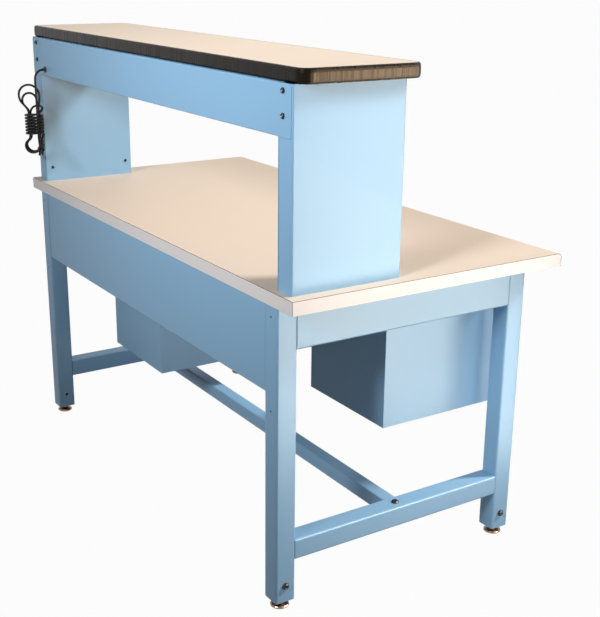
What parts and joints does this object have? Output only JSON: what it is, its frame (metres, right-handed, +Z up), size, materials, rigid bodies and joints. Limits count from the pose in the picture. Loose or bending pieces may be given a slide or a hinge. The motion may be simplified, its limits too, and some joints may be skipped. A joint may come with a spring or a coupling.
{
  "type": "lab bench with reagent shelf",
  "caption": "Laboratory bench with a laminate worktop on tubular end frames, a rear apron, hanging drawer units, and a sheet-metal riser carrying a reagent shelf and outlet strip.",
  "frame": {"origin": "on the floor, under the centre of the worktop", "axes": "+X to the user's right along the bench, -Y towards the user, +Z up"},
  "size_m": [1.524, 0.8252, 1.2275],
  "materials": {
    "blue_paint": "semi-gloss powder coat",
    "laminate": "fine-textured cream laminate",
    "edge_strip": "satin edge strip",
    "particle_board": "raw board",
    "black_trim": "glossy moulded plastic",
    "black_rubber": "satin cord jacket",
    "plated_steel": "dark plated steel",
    "bright_steel": "polished",
    "grey_metal": "satin grey paint"
  },
  "bodies": {
    "bench": {"worktop_core": "particle_board", "shelf_core": "particle_board", "worktop_laminate": "laminate", "shelf_laminate": "laminate", "worktop_rear_edge": "edge_strip", "worktop_left_edge": "edge_strip", "worktop_right_edge": "edge_strip", "leg_front_left": "blue_paint", "leg_front_right": "blue_paint", "leg_rear_left": "blue_paint", "leg_rear_right": "blue_paint", "top_rail_left": "blue_paint", "foot_rail_left": "blue_paint", "top_rail_right": "blue_paint", "foot_rail_right": "blue_paint", "stretcher": "blue_paint", "rear_apron": "blue_paint", "leg_insert_front_left": "plated_steel", "leg_insert_front_right": "plated_steel", "leg_insert_rear_left": "plated_steel", "leg_insert_rear_right": "plated_steel", "upright_shell_left": "blue_paint", "upright_inner_panel_left": "blue_paint", "upright_shell_right": "blue_paint", "upright_inner_panel_right": "blue_paint", "riser_fascia": "blue_paint", "shelf_edge_trim": "black_trim", "outlet_receptacle_bar": "black_trim", "outlet_strip_housing": "grey_metal", "cord_strain_relief": "black_rubber", "power_cord_drop": "black_rubber", "power_cord_hank": "black_rubber", "power_plug": "black_rubber", "drawer_case_left": "blue_paint", "runner_panel_left_left": "grey_metal", "runner_panel_left_right": "grey_metal", "drawer_case_right": "blue_paint", "runner_panel_right_left": "grey_metal", "runner_panel_right_right": "grey_metal"},
    "drawer_left_upper": {"drawer_body_left_upper": "grey_metal", "drawer_front_left_upper": "blue_paint", "drawer_pull_left_upper": "bright_steel"},
    "drawer_left_lower": {"drawer_body_left_lower": "grey_metal", "drawer_front_left_lower": "blue_paint", "drawer_pull_left_lower": "bright_steel"},
    "drawer_right_upper": {"drawer_body_right_upper": "grey_metal", "drawer_front_right_upper": "blue_paint", "drawer_pull_right_upper": "bright_steel"},
    "drawer_right_lower": {"drawer_body_right_lower": "grey_metal", "drawer_front_right_lower": "blue_paint", "drawer_pull_right_lower": "bright_steel"},
    "foot_front_left": {"foot_base_front_left": "plated_steel", "foot_stem_front_left": "plated_steel"},
    "foot_front_right": {"foot_base_front_right": "plated_steel", "foot_stem_front_right": "plated_steel"},
    "foot_rear_left": {"foot_base_rear_left": "plated_steel", "foot_stem_rear_left": "plated_steel"},
    "foot_rear_right": {"foot_base_rear_right": "plated_steel", "foot_stem_rear_right": "plated_steel"},
    "strip_switch": {"outlet_switch": "black_trim"}
  },
  "joints": [
    {"name": "slide_left_upper", "type": "slide", "parent": "bench", "child": "drawer_left_upper", "axis": [0, -1, 0], "range_m": [0, 0.26]},
    {"name": "slide_left_lower", "type": "slide", "parent": "bench", "child": "drawer_left_lower", "axis": [0, -1, 0], "range_m": [0, 0.26]},
    {"name": "slide_right_upper", "type": "slide", "parent": "bench", "child": "drawer_right_upper", "axis": [0, -1, 0], "range_m": [0, 0.45]},
    {"name": "slide_right_lower", "type": "slide", "parent": "bench", "child": "drawer_right_lower", "axis": [0, -1, 0], "range_m": [0, 0.45]},
    {"name": "level_front_left", "type": "slide", "parent": "bench", "child": "foot_front_left", "axis": [0, 0, -1], "range_m": [0, 0.02]},
    {"name": "level_front_right", "type": "slide", "parent": "bench", "child": "foot_front_right", "axis": [0, 0, -1], "range_m": [0, 0.02]},
    {"name": "level_rear_left", "type": "slide", "parent": "bench", "child": "foot_rear_left", "axis": [0, 0, -1], "range_m": [0, 0.02]},
    {"name": "level_rear_right", "type": "slide", "parent": "bench", "child": "foot_rear_right", "axis": [0, 0, -1], "range_m": [0, 0.02]},
    {"name": "strip_rocker", "type": "hinge", "parent": "bench", "child": "strip_switch", "pos_m": [0.605, 0.335, 1.11225], "axis": [0, 0, 1], "range_deg": [0, 16]}
  ]
}
